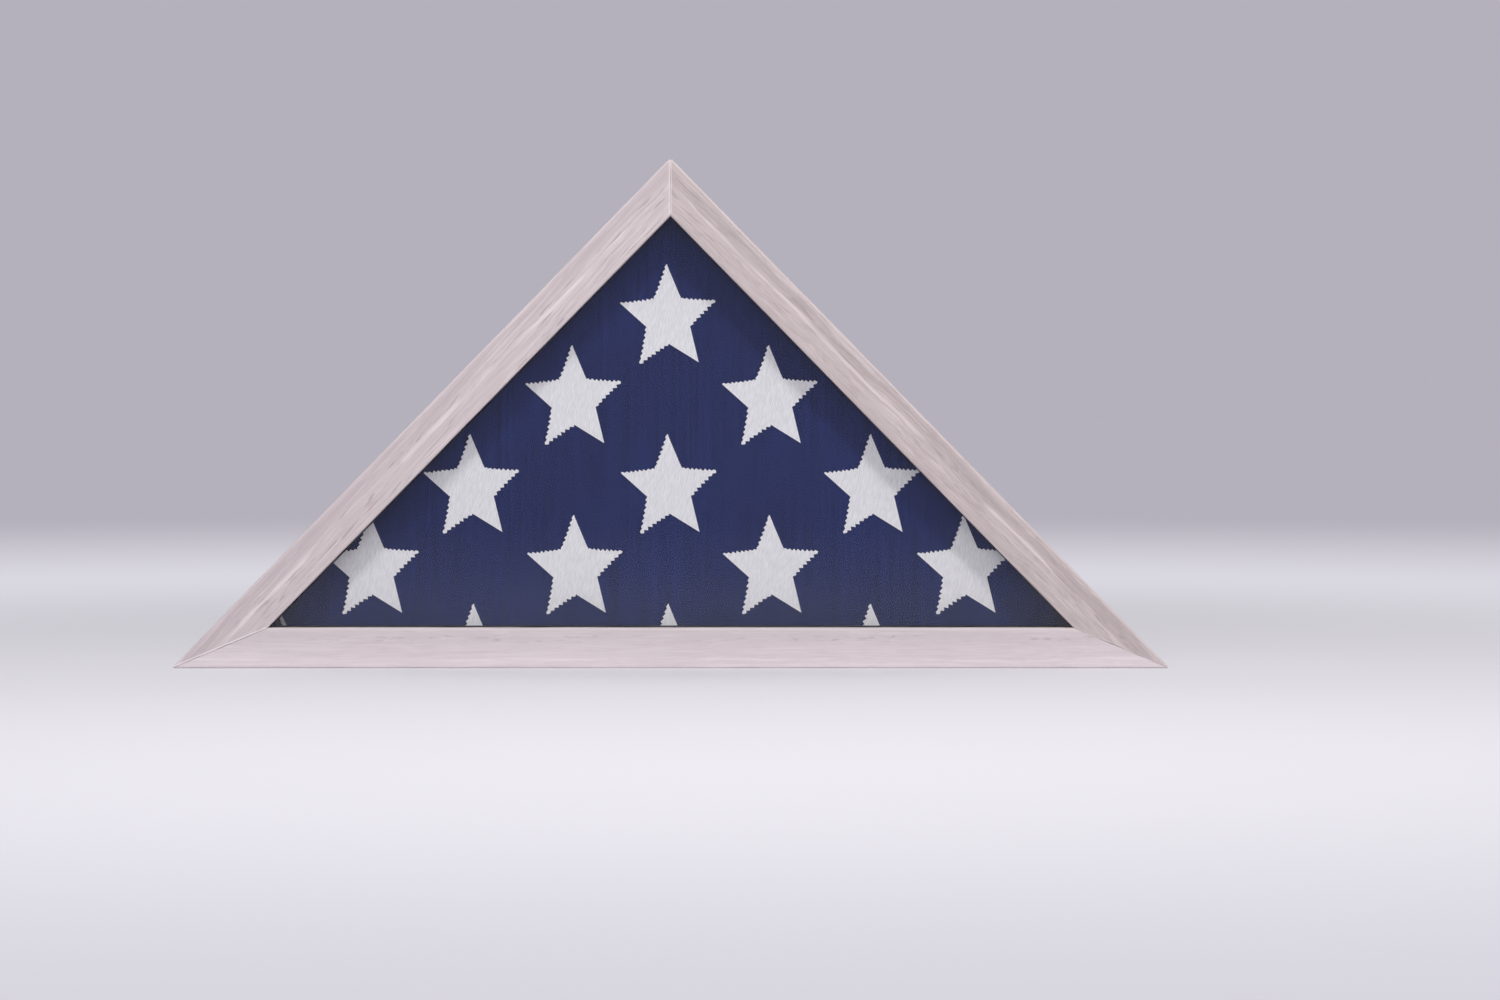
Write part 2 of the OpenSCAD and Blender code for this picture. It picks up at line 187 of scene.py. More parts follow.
def limed_pine(name, seed, tones):
    """Pine, brushed and limed: matte, its tone changing in soft bands across the face, with pale
    streaks of wash, short dark dashes and blotches where it wore thin, and pale lines at the edges
    that are partly rubbed wear and partly a painted highlight where the eased arrises catch the light.
    On the base rail the bands are painted lighter towards its lower edge, as light from the floor."""
    wood = new_material(name)
    place = add_node(wood, "ShaderNodeAttribute", attribute_name="rail_place").outputs["Vector"]
    along, inset, depth = add_node(wood, "ShaderNodeSeparateXYZ", {0: place}).outputs
    # Each rail shows a stretch of the board of its own
    shifted = add_node(wood, "ShaderNodeVectorMath", {0: place, 1: (seed * 311, seed * 17, seed * 23)},
                       operation="ADD").outputs[0]

    def grain(at, length, width, detail=3.0, roughness=0.55):
        """Noise drawn out along the rail: its length and width are those of one streak, in mm."""
        sizes = (1 / length, 1 / width, 1 / width)
        drawn = add_node(wood, "ShaderNodeVectorMath", {0: at, 1: sizes}, operation="MULTIPLY")
        return add_node(wood, "ShaderNodeTexNoise", {"Vector": drawn.outputs[0], "Scale": 1.0,
                        "Detail": detail, "Roughness": roughness}, noise_dimensions="3D").outputs[0]

    def marks(*bounds):
        """Where a coat lies on the wood, from 0 to 1. Each bound is a value, the number at which it
        starts to let the coat on, and the one at which it does so fully."""
        strength = 1.0
        for value, start, full in bounds:
            let_on = add_node(wood, "ShaderNodeMapRange", {0: value, 1: start, 2: full},
                              interpolation_type="SMOOTHSTEP").outputs[0]
            strength = add_node(wood, "ShaderNodeMath", {0: let_on, 1: strength},
                                operation="MULTIPLY").outputs[0]
        return strength

    # The grain wanders in and out along the rail, and leans a little
    bends = add_node(wood, "ShaderNodeMath", {0: grain(shifted, 70, 16, 2.0, 0.5), 1: 0.5},
                     operation="SUBTRACT").outputs[0]
    pushed = add_node(wood, "ShaderNodeMath", {0: bends, 1: tones["wander"]},
                      operation="MULTIPLY").outputs[0]
    leaning = add_node(wood, "ShaderNodeMath", {0: along, 1: tones["lean"], 2: pushed},
                       operation="MULTIPLY_ADD").outputs[0]
    push = add_node(wood, "ShaderNodeCombineXYZ", {1: leaning, 2: pushed}).outputs[0]
    wavy = add_node(wood, "ShaderNodeVectorMath", {0: shifted, 1: push}, operation="ADD").outputs[0]
    wavy_inset = add_node(wood, "ShaderNodeMath", {0: inset, 1: pushed}, operation="ADD").outputs[0]

    # The bands across the face. On the base rail they grow lighter towards its lower, outer edge: painted
    # light bounced up from the floor
    across_face = add_node(wood, "ShaderNodeMath", {0: wavy_inset, 1: mm / face_w},
                           operation="MULTIPLY").outputs[0]
    ramp = add_node(wood, "ShaderNodeValToRGB", {0: across_face})
    ramp.color_ramp.interpolation = "EASE"
    stops = ramp.color_ramp.elements
    stops.remove(stops[1])
    stops[0].position, stops[0].color = 0.0, linear(tones["across"][0][1])
    for at, tint in tones["across"]:
        stops.new(at * mm / face_w).color = linear(tint)
    colour = ramp.outputs[0]

    # Broad and narrow streaks of wash, fibres, blotches, and dashes in patches within one zone
    broad = marks((grain(wavy, 170, 5.5), 0.40, 0.60))
    streaks = marks((grain(wavy, 48, 1.7), 0.46, 0.68))
    fibres = grain(wavy, 24, 0.8, 3.0, 0.6)
    blotches = marks((grain(wavy, 17, 3.6, 3.0, 0.6), 0.52, 0.64))
    zone_low, zone_high = tones["dash_zone"]
    dashes = marks((grain(wavy, tones["dash_length"], 1.0, 1.0), 0.56, 0.66),
                   (grain(wavy, 60, 7, 2.0), 0.42, 0.56),
                   (inset, zone_low - 1.5, zone_low + 1.5), (inset, zone_high + 1, zone_high - 1))

    # One broad streak of wash that wanders along the rail
    from_ridge = add_node(wood, "ShaderNodeMath", {0: wavy_inset, 1: tones["ridge_at"]},
                          operation="SUBTRACT").outputs[0]
    off_ridge = add_node(wood, "ShaderNodeMath", {0: from_ridge}, operation="ABSOLUTE").outputs[0]
    ridge = marks((off_ridge, tones["ridge_w"], 0.3), (grain(wavy, 55, 9, 2.0), 0.40, 0.58))

    # The front's two arrises, rubbed pale and also given a painted highlight where their rounding catches
    # the light, and the lines where the mitres meet
    outer_rim_wear_and_highlight = marks((inset, 1.7, 0.7), (depth, 3.0, 1.2))
    inner_rim_wear_and_highlight = marks((inset, face_w / mm - 1.5, face_w / mm - 0.7), (depth, 3.0, 1.2))
    coats = [(broad, tones["band_share"], tones["band"]),
             (streaks, tones["streak_share"], tones["pale"]),
             (marks((fibres, 0.44, 0.66)), tones["fibre_share"], tones["dark"]),
             (blotches, tones["blotch_share"], tones["dark"]),
             (dashes, tones["dash_share"], tones["dash"]),
             (ridge, tones["ridge_share"], tones["pale"]),
             (outer_rim_wear_and_highlight, tones["outer_rim_wear_and_highlight"], tones["pale"]),
             (inner_rim_wear_and_highlight, tones["inner_rim_wear_and_highlight"], tones["pale"])]
    for at, angle, way, width, share, tint in tones["joints"]:
        from_end = add_node(wood, "ShaderNodeVectorMath", {0: place, 1: (-at, 0, 0)}, operation="ADD")
        across = add_node(wood, "ShaderNodeVectorMath", {0: from_end.outputs[0],
                          1: (way * math.sin(angle), -math.cos(angle), 0)}, operation="DOT_PRODUCT")
        coats.append((marks((across.outputs["Value"], width + 0.4, width - 0.3)), share, tint))
    for where, share, tint in coats:
        strength = add_node(wood, "ShaderNodeMath", {0: where, 1: share},
                            operation="MULTIPLY").outputs[0]
        colour = add_node(wood, "ShaderNodeMix", {0: strength, 6: colour, 7: linear(tint)},
                          data_type="RGBA").outputs[2]

    relief = 0.0
    for value, height in ((fibres, 0.6), (streaks, 0.25), (dashes, -0.5)):
        relief = add_node(wood, "ShaderNodeMath", {0: value, 1: height, 2: relief},
                          operation="MULTIPLY_ADD").outputs[0]
    gloss = add_node(wood, "ShaderNodeMapRange", {0: streaks, 3: 0.62, 4: 0.74},
                     interpolation_type="SMOOTHSTEP").outputs[0]
    bump = add_node(wood, "ShaderNodeBump", {"Height": relief, "Strength": 0.35, "Distance": 0.25 * mm})
    surface = add_node(wood, "ShaderNodeBsdfPrincipled", {"Base Color": colour, "Roughness": gloss,
                       "Specular IOR Level": 0.3, "Normal": bump.outputs[0]})
    add_node(wood, "ShaderNodeOutputMaterial", {"Surface": surface.outputs[0]})
    return wood


# A mitre's line: where its end is along the rail in mm, half the corner's angle and the way to the middle,
# then the line's width in mm, its share and its tone
low_end, top_end = (0, base_angle / 2, 1), (leg_length / mm, top_angle / 2, -1)
far_end = (case_w / mm, base_angle / 2, -1)
# Places across the face are in mm from the outer edge. A share is how strongly a coat covers.
# The pale rims at the two arrises are partly rubbed wear and partly a painted highlight
rail_tones = {
    "left": {"across": ((0.8, "#c9bfc2"), (4.8, "#bcb1b4"), (9.5, "#c4babd"), (12.5, "#cbc1c3"),
                        (17, "#c6bcbe"), (25, "#c8bec0")),
             "band": "#c2b6ba", "band_share": 0.25, "pale": "#e4d9db", "streak_share": 0.40,
             "dark": "#b3a6aa", "fibre_share": 0.35, "blotch_share": 0.10,
             "dash": "#a4979b", "dash_zone": (8.5, 25.5), "dash_length": 17, "dash_share": 0.75,
             "ridge_at": 13.0, "ridge_w": 2.2, "ridge_share": 0.65, "outer_rim_wear_and_highlight": 0.25,
             "inner_rim_wear_and_highlight": 0.5, "wander": 5.0, "lean": 0.03,
             "joints": (low_end + (0.9, 0.75, "#efe6e7"), top_end + (1.0, 0.5, "#e6dadb"))},
    "right": {"across": ((0.8, "#c6bbbb"), (5.8, "#b1a6a6"), (10, "#b8adad"), (14.5, "#c2b7b7"),
                         (19, "#bfb4b4"), (26, "#baafaf")),
              "band": "#bcaeb0", "band_share": 0.30, "pale": "#e2d6d6", "streak_share": 0.35,
              "dark": "#a89b9c", "fibre_share": 0.30, "blotch_share": 0.38,
              "dash": "#9a8d8f", "dash_zone": (5.0, 22.0), "dash_length": 26, "dash_share": 0.55,
              "ridge_at": 11.5, "ridge_w": 1.7, "ridge_share": 0.60, "outer_rim_wear_and_highlight": 0.45,
              "inner_rim_wear_and_highlight": 0.35, "wander": 8.0, "lean": -0.02,
              "joints": (low_end + (0.6, 0.35, "#e0d5d6"), top_end + (0.8, 0.5, "#e6dadb"))},
    # The base rail's tones across its face are painted lighter towards its lower edge, as light bounced up
    # from the floor: painted light
    "base": {"across": ((1.5, "#dcd3d6"), (12, "#d6ccd0"), (22, "#cdc4c7"), (26, "#cec5c8")),
             "band": "#c9bec2", "band_share": 0.30, "pale": "#e8dee2", "streak_share": 0.22,
             "dark": "#bcb0b4", "fibre_share": 0.22, "blotch_share": 0.12,
             "dash": "#aa9ea2", "dash_zone": (17.5, 22.5), "dash_length": 9, "dash_share": 0.5,
             "ridge_at": 5.5, "ridge_w": 1.4, "ridge_share": 0.45, "outer_rim_wear_and_highlight": 0.1,
             "inner_rim_wear_and_highlight": 0.3, "wander": 6.0, "lean": 0.004,
             "joints": (low_end + (0.4, 0.25, "#b7aaac"), far_end + (0.5, 0.6, "#a4979b"))},
}
for number, side in enumerate(("left", "right", "base")):
    rail = make_rail(side)
    rail.data.materials.append(limed_pine(f"limed pine, {side} rail", number + 1, rail_tones[side]))
    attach(rail, "case")
    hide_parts(f"{side}_rail")

# ---- Corner nails ----------------------------------------------------------------------------------
# V nails of nickel-plated steel strip, pressed across each mitre from the back until their edge is
# nearly flush. Two hold each lower corner and one holds the top.


def nickel_steel(name, brushed_mm, roughness):
    """Nickel-plated steel, rolled and tumbled: a warm grey metal with fine scratches and soft gloss."""
    steel = new_material(name)
    place = add_node(steel, "ShaderNodeTexCoord").outputs["Object"]
    scratches = add_node(steel, "ShaderNodeTexNoise", {"Vector": place, "Scale": 1 / (brushed_mm * mm),
                         "Detail": 4.0, "Roughness": 0.7}).outputs[0]
    gloss = add_node(steel, "ShaderNodeMapRange", {0: scratches, 1: 0.3, 2: 0.7,
                     3: roughness - 0.06, 4: roughness + 0.1}).outputs[0]
    tone = add_node(steel, "ShaderNodeMix", {0: scratches, 6: linear("#b4b2ae"), 7: linear("#cdcbc6")},
                    data_type="RGBA").outputs[2]
    bump = add_node(steel, "ShaderNodeBump", {"Height": scratches, "Strength": 0.15,
                    "Distance": 0.03 * mm})
    surface = add_node(steel, "ShaderNodeBsdfPrincipled", {"Base Color": tone, "Metallic": 1.0,
                       "Roughness": gloss, "Normal": bump.outputs[0]})
    add_node(steel, "ShaderNodeOutputMaterial", {"Surface": surface.outputs[0]})
    return steel


def finish_node(name, material):
    """Gives a CAD piece, whose shape is right as it is, its finish."""
    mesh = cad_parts[name].data
    mesh.materials.clear()
    mesh.materials.append(material)


finish_node("corner_nails", nickel_steel("nickel-plated steel strip", 0.8, 0.38))

# ---- Glazing pane ----------------------------------------------------------------------------------
# A triangle of 2 mm picture glass, cut to lie behind the lip with a little play. It is coated against
# glare, so that the room only veils the cloth a little.


def picture_glass():
    """Coated float glass: clear and smooth. The coating cuts what it mirrors to a few parts in a
    hundred, as a low IOR does. Lamps shine through it unbent."""
    glass = new_material("picture glass, anti-glare coated")
    pane = add_node(glass, "ShaderNodeBsdfPrincipled", {"Base Color": linear("#fbfdfc"),
                    "Roughness": 0.0, "IOR": 1.33, "Transmission Weight": 1.0})
    clear = add_node(glass, "ShaderNodeBsdfTransparent", {"Color": linear("#f8faf9")})
    ray = add_node(glass, "ShaderNodeLightPath")
    unbent = add_node(glass, "ShaderNodeMath", {0: ray.outputs["Is Shadow Ray"],
                      1: ray.outputs["Is Diffuse Ray"]}, operation="MAXIMUM").outputs[0]
    lets_lamps_through = add_node(glass, "ShaderNodeMixShader", {0: unbent, 1: pane.outputs[0],
                                  2: clear.outputs[0]})
    add_node(glass, "ShaderNodeOutputMaterial", {"Surface": lets_lamps_through.outputs[0]})
    return glass


finish_node("glazing_pane", picture_glass())

# ---- Spacers ---------------------------------------------------------------------------------------
# Black strips of extruded plastic behind the pane, which keep the cloth off the glass. They stand
# a hair past the lip, and show as a fine black line round the window.


def black_plastic():
    """Extruded rigid PVC: near black, satin, with faint lines from the die along its length."""
    plastic = new_material("black PVC, extruded")
    place = add_node(plastic, "ShaderNodeTexCoord").outputs["Object"]
    lines = add_node(plastic, "ShaderNodeTexNoise", {"Vector": place, "Scale": 1 / (1.2 * mm),
                     "Detail": 3.0}).outputs[0]
    tone = add_node(plastic, "ShaderNodeMix", {0: lines, 6: linear("#131214"), 7: linear("#1c1b1e")},
                    data_type="RGBA").outputs[2]
    bump = add_node(plastic, "ShaderNodeBump", {"Height": lines, "Strength": 0.1,
                    "Distance": 0.05 * mm})
    surface = add_node(plastic, "ShaderNodeBsdfPrincipled", {"Base Color": tone, "Roughness": 0.6,
                       "Specular IOR Level": 0.3, "Normal": bump.outputs[0]})
    add_node(plastic, "ShaderNodeOutputMaterial", {"Surface": surface.outputs[0]})
    return plastic


spacer_plastic = black_plastic()
for side in ("left", "right", "base"):
    finish_node(f"{side}_spacer", spacer_plastic)

# ---- Folded flag -----------------------------------------------------------------------------------
# A cotton flag of 5 by 9 1/2 feet, folded lengthways twice and then over and over into a triangle of
# some sixty layers. The last folds wrap the others with round edges, and only the navy field shows.
flag_low, flag_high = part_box("folded_flag")
flag_front = flag_low.y
flag_back = flag_high.y
flag_play = 0.3 * mm
cloth_t = 0.8 * mm
wrap_r = 8 * mm
flag_inset = wall_t + flag_play
# For the lower left corner, the lower right and the top one
half_angles = (base_angle / 2, base_angle / 2, top_angle / 2)
flag_corner_r = (12.5 * mm, 17 * mm, 9 * mm)


def corners_in(inset):
    """Corners of the case's triangle, moved in: lower left, lower right and top."""
    out = case_w / 2 - inset / math.tan(base_angle / 2)
    return [(-out, inset), (out, inset), (0, case_h - inset / math.sin(top_angle / 2))]


def cloth_outline(shape, inset, depth, wander, seed):
    """One flat triangle of cloth with round corners, whose edges wander inwards a little."""
    side_at_least = 100 * mm
    side_cuts = 30
    wave = 50 * mm
    seed_gap = 3.7
    corners = [shape.verts.new((x, depth, z)) for x, z in corners_in(inset)]
    shape.faces.new(corners)
    for corner, corner_r, half_angle in zip(corners, flag_corner_r, half_angles):
        reach = (corner_r - inset + flag_inset) / math.tan(half_angle)
        bmesh.ops.bevel(shape, geom=[corner], offset=reach, segments=8, profile=0.5,
                        affect="VERTICES", material=-1)
    sides = [edge for edge in shape.edges if edge.calc_length() > side_at_least]
    bmesh.ops.subdivide_edges(shape, edges=sides, cuts=side_cuts)
    middle = Vector((0, depth, case_h / 3))
    for vert in shape.verts:
        rough = noise.noise(Vector((vert.co.x / wave, vert.co.z / wave, seed * seed_gap)))
        towards = (middle - vert.co).normalized()
        vert.co += towards * wander * (0.5 + 0.5 * rough)
    return shape.faces[:]


def add_to(whole, part):
    """Adds one part's faces to the whole piece, with their normals outwards."""
    bmesh.ops.recalc_face_normals(part, faces=part.faces)
    mesh = bpy.data.meshes.new("part")
    part.to_mesh(mesh)
    part.free()
    whole.from_mesh(mesh)
    bpy.data.meshes.remove(mesh)


def cloth_layer(flag, depth, inset, bend_r, bend_way, wander, seed):
    """One layer of the folded cloth. With a bend, its edge rolls over by a quarter round: bend_way is
    1 where the cloth rolls to the back and -1 where it rolls to the front."""
    shape = bmesh.new()
    steps = 6 if bend_r == wrap_r else 3
    rim_depth = depth + bend_way * bend_r
    faces = cloth_outline(shape, inset, rim_depth, wander, seed)
    shape.normal_update()
    if faces[0].normal.y * bend_way > 0:
        bmesh.ops.reverse_faces(shape, faces=faces)
    if bend_r:
        for step in range(steps):
            near, far = (math.pi / 2 * (step + i) / steps for i in (0, 1))
            bmesh.ops.inset_region(shape, faces=faces, use_even_offset=True,
                                   thickness=bend_r * (math.cos(near) - math.cos(far)),
                                   depth=bend_r * (math.sin(far) - math.sin(near)))
    bmesh.ops.solidify(shape, geom=shape.faces[:], thickness=cloth_t)
    add_to(flag, shape)


def wrap_inset(depth):
    """How far the round wrap draws the layers in at a depth, near the front and the back."""
    into = min(depth - flag_front, flag_back - depth)
    if into >= wrap_r:
        return 0.0
    return wrap_r - math.sqrt(max(wrap_r ** 2 - (wrap_r - into) ** 2, 0))


def fold_flag():
    """The two outer wraps, the layers that lie in their round edges, and the folded layers between
    them. Of every four of those, the outer two roll over towards each other at their edges."""
    wrapped_layers, wrapped_gap = 7, 1 * mm
    middle_layers, fold_layers = 44, 4
    front_share, back_share = 0.1, 0.8
    wrapped_tuck, folded_tuck, edge_tuck = 1.3 * mm, 0.3 * mm, 1.6 * mm
    wrapped_wander, middle_wander = 1 * mm, 0.7 * mm
    fold_r = 1.7 * mm
    middle_seed = 11
    flag = bmesh.new()
    cloth_layer(flag, flag_front, flag_inset, wrap_r, 1, 0.0, 1)
    cloth_layer(flag, flag_back, flag_inset, wrap_r, -1, 0.0, 2)
    for number in range(1, wrapped_layers + 1):
        for depth in (flag_front + number * wrapped_gap, flag_back - number * wrapped_gap):
            inset = flag_inset + wrap_inset(depth) + wrapped_tuck
            cloth_layer(flag, depth, inset, 0, 1, wrapped_wander, number)
    pitch = (flag_back - flag_front - 2 * wrap_r) / middle_layers
    for number in range(middle_layers):
        depth = flag_front + wrap_r + (number + front_share) * pitch
        rolls = {0: 1, fold_layers - 1: -1}.get(number % fold_layers, 0)
        start = depth if rolls >= 0 else depth + pitch * back_share
        inset = flag_inset + (folded_tuck if rolls else edge_tuck)
        cloth_layer(flag, start, inset, fold_r if rolls else 0, rolls or 1, middle_wander,
                    number // fold_layers + middle_seed)
    return finished(flag, "folded_flag_cloth")


folded_flag = fold_flag()


def navy_cotton():
    """Cotton bunting, plain woven and dyed navy: matte with a soft bloom of fibres, slightly uneven
    dye along the threads. The weave is drawn at 0.6 mm, coarser than the real thread, so it shows."""
    cotton = new_material("navy cotton, plain weave")
    thread = 0.6 * mm
    slub_scale = (1 / (2.4 * mm), 1 / (25 * mm), 1 / (111.1 * mm))
    place = add_node(cotton, "ShaderNodeTexCoord").outputs["Object"]
    split = add_node(cotton, "ShaderNodeSeparateXYZ", {0: place})
    heights = []
    for axis in (0, 2):
        angle = add_node(cotton, "ShaderNodeMath", {0: split.outputs[axis], 1: 2 * math.pi / thread},
                         operation="MULTIPLY").outputs[0]
        heights.append(add_node(cotton, "ShaderNodeMath", {0: angle}, operation="SINE").outputs[0])
    weave = add_node(cotton, "ShaderNodeMath", {0: heights[0], 1: heights[1]},
                     operation="MULTIPLY").outputs[0]
    drawn = add_node(cotton, "ShaderNodeVectorMath", {0: place, 1: slub_scale},
                     operation="MULTIPLY").outputs[0]
    slubs = add_node(cotton, "ShaderNodeTexNoise", {"Vector": drawn, "Scale": 1.0, "Detail": 3.0,
                     "Roughness": 0.6}).outputs[0]
    cloudy = add_node(cotton, "ShaderNodeTexNoise", {"Vector": place, "Scale": 1 / (90 * mm),
                      "Detail": 2.0}).outputs[0]
    tone = add_node(cotton, "ShaderNodeMapRange", {0: slubs, 1: 0.3, 2: 0.7, 3: 0.0, 4: 1.0}).outputs[0]
    colour = add_node(cotton, "ShaderNodeMix", {0: tone, 6: linear("#15204c"), 7: linear("#1d2a64")},
                      data_type="RGBA").outputs[2]
    clouds = add_node(cotton, "ShaderNodeMapRange", {0: cloudy, 1: 0.35, 2: 0.65, 3: 0.0, 4: 0.35})
    colour = add_node(cotton, "ShaderNodeMix", {0: clouds.outputs[0], 6: colour,
                      7: linear("#171c44")}, data_type="RGBA").outputs[2]
    bump = add_node(cotton, "ShaderNodeBump", {"Height": weave, "Strength": 0.15,
                    "Distance": 0.05 * mm})
    surface = add_node(cotton, "ShaderNodeBsdfPrincipled", {"Base Color": colour, "Roughness": 0.9,
                       "Specular IOR Level": 0.12, "Sheen Weight": 0.05, "Sheen Roughness": 0.5,
                       "Normal": bump.outputs[0]})
    add_node(cotton, "ShaderNodeOutputMaterial", {"Surface": surface.outputs[0]})
    return cotton


folded_flag.data.materials.append(navy_cotton())
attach(folded_flag, "flag")
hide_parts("folded_flag")

# ---- Stars -----------------------------------------------------------------------------------------
# White stars, woven and stitched down on the field. The stitches leave stepped, toothed edges where
# they cross the threads and clean ones where they follow them. The folds cut the outer stars off.
stars_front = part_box("flag_stars")[0].y
star_w = 64 * mm
star_h = 66.3 * mm
star_notch = 0.456
star_tilt = math.radians(1.5)
star_step_x = 66 * mm
star_step_z = 57 * mm
star_row_lift = 2.7 * mm
star_top_z = 233.3 * mm
# How many mm each star lies off its place to the right, row by row from the top
star_shifts = ((-2,), (0.5, 0.5), (-2, -1.5, 3), (-3.5, 1.5, 1, -0.5), (0, 0, -1, 3, 0))
wrapped_w = 5 * mm


def star_corners():
    """The ten corners, clockwise from the top point, about the star's centre."""
    half_w = star_w / (2 * math.cos(math.radians(18)))
    half_h = star_h / (1 + math.cos(math.radians(36)))
    corners = []
    for number in range(10):
        reach = 1 if number % 2 == 0 else star_notch
        turn = math.radians(36) * number
        corners.append(Vector((half_w * reach * math.sin(turn), half_h * reach * math.cos(turn))))
    return corners


# The kinds of edge, as the teeth's pitch and half their height, and the star's edges clockwise. The
# teeth are a third coarser than real ones, so that they show
edge_teeth = {"fine": (1.7 * mm, 0.25 * mm), "waved": (2.9 * mm, 0.75 * mm),
              "stepped": (3.4 * mm, 1.0 * mm), "ragged": (3.6 * mm, 0.8 * mm)}
edge_kinds = ("fine", "waved", "stepped", "clean", "clean", "stepped", "ragged", "clean", "waved",
              "ragged")


def stitched_edge(start, end, kind, rng):
    """Points from one corner on towards the next, with the teeth of its kind."""
    if kind == "clean":
        return [start]
    along = end - start
    pitch, height = edge_teeth[kind]
    teeth = max(round(along.length / pitch), 2)
    tip_share, stray = 0.35, 0.08
    smallest, largest = 0.7, 1.2
    outwards = Vector((-along.y, along.x)).normalized()
    points = [start]
    for number in range(teeth):
        share = (number + tip_share + rng.uniform(-stray, stray)) / teeth
        size = height * rng.uniform(smallest, largest)
        if number:
            notch = start + along * (number + rng.uniform(-stray, stray)) / teeth
            near_corner = number in (1, teeth - 1)
            points.append(notch - outwards * (size / 2 if near_corner else size))
        points.append(start + along * share + outwards * size)
    return points


def flat_corners():
    """Each round corner of the flag's flat front, as its outward bisector, its centre and its radius."""
    found = []
    step_in = 10 * mm
    flat, further_in = (corners_in(flag_inset + wrap_r + step) for step in (0, step_in))
    for corner, inner, corner_r, half_angle in zip(flat, further_in, flag_corner_r, half_angles):
        bisector = (Vector(corner) - Vector(inner)).normalized()
        round_r = corner_r - wrap_r
        found.append((bisector, Vector(corner) - bisector * round_r / math.sin(half_angle), round_r))
    return found


def beyond_flat(x, z):
    """How far a point of the flag's front lies out on the round wrap of its edges and corners."""
    for (bisector, centre, round_r), half_angle in zip(flat_corners(), half_angles):
        arm = Vector((x, z)) - centre
        if arm.dot(bisector) > arm.length * math.sin(half_angle):
            return arm.length - round_r
    from_legs = (case_w / 2 - abs(x)) * math.sin(base_angle) - z * math.cos(base_angle)
    return flag_inset + wrap_r - min(z, from_legs)


def sew_star(stars, middle, rng):
    """One star on the flag's front. It follows the wrap for a little way and is cut off there."""
    turned = Matrix.Rotation(star_tilt, 2)
    corners = star_corners()
    shape = bmesh.new()
    outline = []
    for number, kind in enumerate(edge_kinds):
        outline += stitched_edge(corners[number], corners[(number + 1) % 10], kind, rng)
    verts = []
    for point in outline:
        x, z = middle + turned @ point
        verts.append(shape.verts.new((x, flag_front, z)))
    shape.faces.new(verts)
    # Cuts where the wrap starts and half-way let the star bend with it, and the last takes the rest off
    across_top = Vector((math.sin(base_angle), 0, math.cos(base_angle)))
    for wrapped in (0, wrapped_w / 2, wrapped_w):
        edge_line = flag_inset + wrap_r - wrapped
        top = Vector((0, 0, case_h - edge_line / math.sin(top_angle / 2)))
        for point, outwards in ((Vector((0, 0, edge_line)), Vector((0, 0, -1))), (top, across_top),
                                (top, Vector((-across_top.x, 0, across_top.z)))):
            cut(shape, point, outwards, clear_outer=wrapped == wrapped_w)
    for bisector, centre, round_r in flat_corners()[:2]:
        outwards = Vector((bisector.x, 0, bisector.y))
        point = Vector((centre.x, 0, centre.y)) + outwards * (round_r + wrapped_w)
        cut(shape, point, outwards, clear_outer=True)
    if not shape.faces:
        shape.free()
        return
    raised = bmesh.ops.extrude_face_region(shape, geom=shape.faces[:])
    tops = [part for part in raised["geom"] if isinstance(part, bmesh.types.BMVert)]
    bmesh.ops.translate(shape, verts=tops, vec=(0, stars_front - flag_front, 0))
    for vert in shape.verts:
        out = min(max(beyond_flat(vert.co.x, vert.co.z), 0), wrap_r)
        vert.co.y += wrap_r - math.sqrt(wrap_r ** 2 - out ** 2)
    add_to(stars, shape)


def sew_stars():
    """All fifteen stars in five rows, each a few millimetres off its place as the cloth is folded."""
    stars = bmesh.new()
    rng = random.Random(5)
    for row, shifts in enumerate(star_shifts):
        z = star_top_z - row * star_step_z + (star_row_lift if row % 2 else 0)
        for number, shift in enumerate(shifts):
            sew_star(stars, Vector(((2 * number - row) * star_step_x + shift * mm, z)), rng)
    return finished(stars, "sewn_stars")


